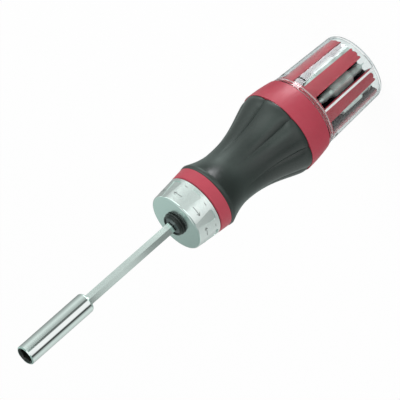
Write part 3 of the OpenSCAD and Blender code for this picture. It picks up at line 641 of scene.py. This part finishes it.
low, high = corners("plunger_spring")
middle = (low + high) / 2
coil_r = (high.x - low.x - WIRE) / 2
first, last = low.y + WIRE / 2, high.y - WIRE / 2
start = Matrix.Translation((coil_r, first, middle.z))
steps = SPRING_TURNS * SPRING_STEPS
bm = bmesh.new()
bmesh.ops.create_circle(bm, segments=WIRE_SIDES, radius=WIRE / 2, matrix=start)
bmesh.ops.spin(
    bm, geom=bm.verts[:] + bm.edges[:], cent=(0, first, middle.z), axis=(0, 1, 0),
    angle=math.tau * SPRING_TURNS, dvec=(0, (last - first) / steps, 0), steps=steps)
bmesh.ops.holes_fill(bm, edges=[edge for edge in bm.edges if edge.is_boundary], sides=0)
bmesh.ops.recalc_face_normals(bm, faces=bm.faces)
spring_coil = piece("spring_coil", bm, "selector", wire_finish)
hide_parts("plunger_spring")
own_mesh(spring_coil)
print("the spring is", round((high.y - low.y) / MM, 2), "mm long")

# %% [markdown]
# Arrows on the selector ring
#
# Each raised pad of the ring has a plain direction arrow with a tick behind it, sunk and filled with dark
# paint. Cutting into the ring would change its mesh, so each arrow is a thin film on the pad. It is drawn
# flat, from bars with enough points to bend, and is then wrapped round the ring by moving its points out to
# the pad.

# %% A flat arrow
ARROW_LEN, ARROW_LINE, ARROW_HEAD, HEAD_SHARE = 5.0, 0.3, 1.3, 0.62
ARROW_Z, TICK_Z, TICK_LEN = 116.6, 111.2, 1.7


def flat_bar(bm, start, end, width):
    """A flat bar from start to end, with points close enough together to bend."""
    start, end = Vector(start), Vector(end)
    along = end - start
    turn = Matrix.Rotation(math.atan2(along.y, along.x), 4, "Z")
    size = Matrix.Diagonal((along.length / 2, width / 2, 1, 1))
    place = Matrix.Translation(((start + end) / 2).to_3d())
    bmesh.ops.create_grid(bm, x_segments=8, y_segments=1, size=1, matrix=place @ turn @ size)


def flat_arrow(way):
    """An arrow and its tick, as width and height in millimetres, that points to +X where way is 1."""
    drawn = bmesh.new()
    tip = (way * ARROW_LEN / 2, ARROW_Z)
    flat_bar(drawn, (-way * ARROW_LEN / 2, ARROW_Z), tip, ARROW_LINE)
    for side in (-1, 1):
        barb = (tip[0] - way * ARROW_HEAD, ARROW_Z + side * ARROW_HEAD * HEAD_SHARE)
        flat_bar(drawn, tip, barb, ARROW_LINE)
    flat_bar(drawn, (-TICK_LEN / 2, TICK_Z), (TICK_LEN / 2, TICK_Z), ARROW_LINE)
    return drawn


# %% Pad arrows
PAD_COUNT = 8
PAINT_PROUD, PAINT_T = 0.02, 0.08
RING_BACK_R, RING_FACE_R = corners("selector_ring")[1].x / MM, 14.9


def ring_r(z):
    """Outer radius of the ring's pads at height z, in millimetres."""
    return RING_BACK_R + (RING_FACE_R - RING_BACK_R) * (z - RING_BACK) / (RING_FACE - RING_BACK)


bm = bmesh.new()
for pad in range(PAD_COUNT):
    drawn = flat_arrow(1 if pad % 2 else -1)
    for vert in drawn.verts:
        r = ring_r(vert.co.y) + PAINT_PROUD
        angle = math.tau * pad / PAD_COUNT + vert.co.x / r
        vert.co = Vector((r * math.cos(angle), r * math.sin(angle), vert.co.y)) * MM
    mesh = bpy.data.meshes.new("pad_arrow")
    drawn.to_mesh(mesh)
    drawn.free()
    bm.from_mesh(mesh)
    bpy.data.meshes.remove(mesh)
bmesh.ops.recalc_face_normals(bm, faces=bm.faces)
bmesh.ops.solidify(bm, geom=bm.faces, thickness=PAINT_T * MM)
piece("pad_arrows", bm, "selector", paint_finish)

# %% [markdown]
# Light
#
# A plain soft studio: an even white surround for the diffuse light, one broad lamp from the upper left of
# the picture and a weak one from the right. The camera, reflections and clear plastic see the surround as
# plain white, while what it gives to the pieces stays lower, so that their colours render as written.

# %% World
CAMERA_AZIMUTH, CAMERA_HEIGHT = -81.5, 24.7
SURROUND = 0.72


def towards(azimuth_deg, height_deg):
    """Unit vector at that angle from the camera's side, positive to the picture's left, and that height."""
    a, h = math.radians(CAMERA_AZIMUTH) + math.radians(azimuth_deg), math.radians(height_deg)
    return Vector((math.cos(a) * math.cos(h), math.sin(a) * math.cos(h), math.sin(h)))


def looking(tree):
    """1 for a ray of the camera, of a reflection or through clear plastic, and 0 for all others."""
    rays = tree.nodes.new("ShaderNodeLightPath").outputs
    seen = maths(tree, "MAXIMUM", rays["Is Camera Ray"], rays["Is Glossy Ray"])
    return maths(tree, "MAXIMUM", seen, rays["Is Transmission Ray"])


world = bpy.data.worlds.new("studio")
bpy.context.scene.world = world
world.use_nodes = True
tree = world.node_tree
tree.nodes.clear()
background = tree.nodes.new("ShaderNodeBackground")
sky_output = tree.nodes.new("ShaderNodeOutputWorld")
background.inputs["Color"].default_value = (1, 1, 1, 1)
tree.links.new(spread(tree, looking(tree), 0, 1, SURROUND, 1.0), background.inputs["Strength"])
tree.links.new(background.outputs["Background"], sky_output.inputs["Surface"])
print("the surround gives", SURROUND, "and looks white")


# %% Lamps
LAMP_AIM = Vector((0, 0, 0.09))


def lamp(name, azimuth_deg, height_deg, reach, size, power):
    """A square area lamp at that reach from the middle of the tool, which it looks at."""
    light = bpy.data.lights.new(name, "AREA")
    light.shape = "SQUARE"
    light.size = size
    light.energy = power
    holder = bpy.data.objects.new(name, light)
    bpy.context.scene.collection.objects.link(holder)
    direction = towards(azimuth_deg, height_deg)
    holder.location = LAMP_AIM + direction * reach
    holder.rotation_mode = "QUATERNION"
    holder.rotation_quaternion = direction.to_track_quat("Z", "Y")
    print(name, "gives", power, "watts")


lamp("key_lamp", azimuth_deg=58, height_deg=34, reach=0.9, size=0.55, power=3.2)
lamp("fill_lamp", azimuth_deg=-70, height_deg=20, reach=1.0, size=0.6, power=0.9)

# %% [markdown]
# Floor
#
# The floor is a big plane under the cap's flat end. Most of what the camera sees of it is plain white,
# and the rest is a matt surface, so a soft shadow stays under the tool.

# %% Floor
FLOOR_HALF, FLOOR_WHITE, FLOOR_GLOW = 6, 0.92, 0.95


def stage_mesh(name, build):
    """A mesh object that bmesh operators fill, and that isn't part of the tool."""
    mesh = bpy.data.meshes.new(name)
    bm = bmesh.new()
    build(bm)
    bm.to_mesh(mesh)
    bm.free()
    obj = bpy.data.objects.new(name, mesh)
    bpy.context.scene.collection.objects.link(obj)
    return obj


def floor_white():
    """Matt white to the light, and mostly plain white to the camera and in reflections."""
    material = bpy.data.materials.new("floor_white")
    material.use_nodes = True
    tree = material.node_tree
    tree.nodes.clear()
    matt = tree.nodes.new("ShaderNodeBsdfDiffuse")
    matt.inputs["Color"].default_value = (FLOOR_WHITE, FLOOR_WHITE, FLOOR_WHITE, 1)
    glow = tree.nodes.new("ShaderNodeEmission")
    mix = tree.nodes.new("ShaderNodeMixShader")
    output = tree.nodes.new("ShaderNodeOutputMaterial")
    tree.links.new(spread(tree, looking(tree), 0, 1, 0, FLOOR_GLOW), mix.inputs[0])
    tree.links.new(matt.outputs["BSDF"], mix.inputs[1])
    tree.links.new(glow.outputs["Emission"], mix.inputs[2])
    tree.links.new(mix.outputs["Shader"], output.inputs["Surface"])
    return material


def build_floor(bm):
    bmesh.ops.create_grid(bm, x_segments=4, y_segments=4, size=FLOOR_HALF)


floor = stage_mesh("floor", build_floor)
floor.data.materials.append(floor_white())
print("the floor is", 2 * FLOOR_HALF, "m across")

# %% [markdown]
# Studio tent
#
# Bright metal only shows what stands round it. Photographers put such a tool in a tent with grey walls, a
# bright panel and dark strips, and the strips make the lines along the sleeve. The tent here is a tube
# that only reflections see. Its tones follow the angle round the tool. The camera looks down on an upright
# tool, so each part shows the tent at its own height: the shank shows it low, the sleeve a little
# higher, the grip's lower flank higher still, and the ring's flat face the wall behind the tool. The
# pieces are faintly green, so the panel is a little pink, and the sleeve shows it white.

# %% Tones of the tent
TENT_R, TENT_HEIGHT, TENT_LIFT, TENT_SIDES = 0.25, 0.7, 1 * MM, 96
COOL, GREENISH, GREENER = (0.96, 1, 0.985), (0.86, 1, 0.95), (0.79, 1, 0.945)
PANEL = (1.10, 1.02, 1.05)
# Angle from the camera's side, positive to the picture's left, and the grey or the colour there
LOW_TONES = [
    (-180, 0.40), (-125, 0.70), (-95, 0.50), (-80, 0.28), (-45, 0.28), (-30, 0.9), (0, 1.1), (12, 0.8),
    (30, 0.60), (50, 0.74), (80, 0.85), (110, 0.45), (179, 0.40),
]
SHANK_TONES = [
    (-180, 0.40), (-125, 0.75), (-95, 0.78), (-75, 0.77), (-50, 0.77), (-35, 0.9), (0, 1.1), (12, 0.8),
    (30, 0.64), (60, 0.73), (80, 0.90), (110, 0.45), (179, 0.40),
]
SLEEVE_TONES = [
    (-180, 0.30), (-140, 0.62), (-118, 0.70), (-100, 0.80), (-84, 0.74), (-70, 0.40), (-63, 0.07),
    (-50, 0.06), (-39, PANEL), (0, PANEL), (5, 0.22), (12, 0.18), (20, 0.10), (26, 0.42), (48, 0.62),
    (72, 0.85), (86, 0.74), (101, 0.56), (125, 0.40), (179, 0.25),
]
FLANK_TONES = [
    (-180, 0.4), (-120, 0.9), (-98, 1.0), (-82, 0.04), (-18, 0.04), (-4, 3.0), (30, 2.9), (60, 2.4),
    (100, 2.0), (140, 0.6), (179, 0.4),
]
UPPER_TONES = [(-180, 0.37), (-150, 0.37), (-60, 0.45), (60, 0.45), (150, 0.60), (179, 0.60)]
# From the floor up: the heights over which the tones below give way, and the tones and tint above them
LEVELS = [
    (0.030, 0.042, SHANK_TONES, COOL), (0.0718, 0.0735, SLEEVE_TONES, COOL),
    (0.120, 0.127, FLANK_TONES, GREENISH), (0.16, 0.2, UPPER_TONES, GREENER),
]
print("the tent has", len(LEVELS) + 1, "bands of tones")


# %% Helpers for tones
def unseen_but_reflected(obj):
    """Leaves a stage object in sight of reflections only."""
    for flag in ("camera", "diffuse", "transmission", "volume_scatter", "shadow"):
        setattr(obj, "visible_" + flag, False)


def tones_round(tree, place, tones, tint):
    """A tone that follows the angle round the Z axis from the camera's side. Greys take the tint."""
    turn = tree.nodes.new("ShaderNodeMapping")
    turn.inputs["Rotation"].default_value = (0, 0, -math.radians(CAMERA_AZIMUTH))
    angle = tree.nodes.new("ShaderNodeTexGradient")
    angle.gradient_type = "RADIAL"
    node = tree.nodes.new("ShaderNodeValToRGB")
    ramp = node.color_ramp
    while len(ramp.elements) < len(tones):
        ramp.elements.new(0.5)
    for element, (degrees, tone) in zip(ramp.elements, tones):
        element.position = degrees / 360 + 0.5
        element.color = (*(tone if isinstance(tone, tuple) else (tone * share for share in tint)), 1)
    tree.links.new(place, turn.inputs["Vector"])
    tree.links.new(turn.outputs["Vector"], angle.inputs["Vector"])
    tree.links.new(angle.outputs["Fac"], node.inputs["Fac"])
    return node.outputs["Color"]


def glowing(name):
    """A new material that only gives off light. Returns it with its tree, place and emission colour."""
    material = bpy.data.materials.new(name)
    material.use_nodes = True
    tree = material.node_tree
    tree.nodes.clear()
    place = tree.nodes.new("ShaderNodeTexCoord")
    glow = tree.nodes.new("ShaderNodeEmission")
    output = tree.nodes.new("ShaderNodeOutputMaterial")
    tree.links.new(glow.outputs["Emission"], output.inputs["Surface"])
    return material, tree, place.outputs["Object"], glow.inputs["Color"]


# %% Studio tent
def build_tent(bm):
    bmesh.ops.create_cone(
        bm, segments=TENT_SIDES, radius1=TENT_R, radius2=TENT_R, depth=TENT_HEIGHT, cap_ends=False)
    bmesh.ops.translate(bm, vec=(0, 0, TENT_HEIGHT / 2 + TENT_LIFT), verts=bm.verts)


tent = stage_mesh("studio_tent", build_tent)
unseen_but_reflected(tent)
material, tree, place, colour = glowing("tent_tones")
height = parts_of(tree, place)[2]
walls = tones_round(tree, place, LOW_TONES, COOL)
for start, end, tones, tint in LEVELS:
    above = spread(tree, height, start, end, 0, 1)
    walls = mixed(tree, above, walls, tones_round(tree, place, tones, tint))
tree.links.new(walls, colour)
tent.data.materials.append(material)
print("the tent is", 2 * TENT_R, "m across")

# %% [markdown]
# Floor card
#
# The cap and the grip's waist turn away from the walls and show the floor instead. A round card lies there,
# a hair over the floor. Near the tool it is dark, which keeps the clear cap free of glare, and farther out
# it gives the rubber its long soft highlight.

# %% Floor card
CARD_LIFT = 0.4 * MM
CARD_ZONE = 0.095, 0.12
CAP_TONES = [
    (-180, 0.5), (-150, 0.5), (-120, 0.2), (-60, 0.1), (-24, 0.16), (24, 0.16), (50, 0.1), (120, 0.15),
    (179, 0.5),
]
GRIP_TONES = [
    (-180, 0.60), (-140, 0.60), (-105, 0.5), (-75, 0.45), (-20, 0.45), (-5, 1.0), (25, 1.2), (48, 1.3),
    (62, 3.0), (84, 3.0), (96, 1.1), (150, 0.5), (179, 0.6),
]


def build_card(bm):
    lift = Matrix.Translation((0, 0, CARD_LIFT))
    bmesh.ops.create_circle(bm, cap_ends=True, segments=TENT_SIDES, radius=TENT_R, matrix=lift)


card = stage_mesh("floor_card", build_card)
unseen_but_reflected(card)
material, tree, place, colour = glowing("card_tones")
far = spread(tree, distance_from_axis(tree, place), *CARD_ZONE, 0, 1)
near_tones = tones_round(tree, place, CAP_TONES, COOL)
far_tones = tones_round(tree, place, GRIP_TONES, GREENISH)
tree.links.new(mixed(tree, far, near_tones, far_tones), colour)
card.data.materials.append(material)
print("the card's tones change", CARD_ZONE[0], "m from the axis")

# %% [markdown]
# Strip beside the cap
#
# The clear cap shows one long pale reflection over its left slot. A lamp there would light the pieces too,
# so a narrow glowing strip lies on the card instead. A round wall turns a reflection by twice the angle of
# the place that it is seen at, so the strip is a wedge that widens as it runs out from the cap.

# %% Strip beside the cap
STRIP_EDGES = 30.0, 44.5
STRIP_START, STRIP_NEAR, STRIP_FAR, STRIP_LIFT = 0.0185, 0.005, 0.060, 0.8 * MM
STRIP_TONE = (9.2, 9.1, 9.4)


def build_strip(bm):
    """A wedge whose mirror image in the cap is a straight band, with edges along twice their angles."""
    bmesh.ops.create_grid(bm, x_segments=1, y_segments=1, size=1)
    for vert in bm.verts:
        angle = STRIP_EDGES[1] if vert.co.x > 0 else STRIP_EDGES[0]
        run = STRIP_FAR if vert.co.y > 0 else STRIP_NEAR
        vert.co = towards(angle, 0) * STRIP_START + towards(2 * angle, 0) * run
        vert.co.z = STRIP_LIFT


band = stage_mesh("cap_strip", build_strip)
unseen_but_reflected(band)
material, tree, place, colour = glowing("strip_light")
colour.default_value = (*STRIP_TONE, 1)
band.data.materials.append(material)
print("the strip runs", STRIP_FAR - STRIP_NEAR, "m out from the cap")

# %% [markdown]
# Camera
#
# The camera looks at the tool from its window's side and from above its tip. It is far away with a long
# lens, so lines that are parallel on the tool stay nearly so, and it is rolled so that the tool lies
# across the picture with its tip at the lower left.

# %% Camera
LENS, SENSOR = 477.0, 36
REACH, ROLL = 2.409, math.radians(-131.4)
AIM_HEIGHT, AIM_RIGHT, AIM_UP = 0.120, 0.01005, 0.00966

camera = bpy.data.objects.new("camera", bpy.data.cameras.new("camera"))
bpy.context.scene.collection.objects.link(camera)
camera.data.lens = LENS
camera.data.sensor_width = SENSOR
camera.data.clip_start, camera.data.clip_end = 0.1, 50
back = towards(0, CAMERA_HEIGHT)
turned = back.to_track_quat("Z", "Y").to_matrix() @ Matrix.Rotation(ROLL, 3, "Z")
camera.rotation_mode = "QUATERNION"
camera.rotation_quaternion = turned.to_quaternion()
camera.location = Vector((0, 0, AIM_HEIGHT)) + turned @ Vector((AIM_RIGHT, AIM_UP, REACH))
bpy.context.scene.camera = camera
bpy.context.scene.view_settings.view_transform = "Standard"
print("camera at", tuple(round(v, 3) for v in camera.location))
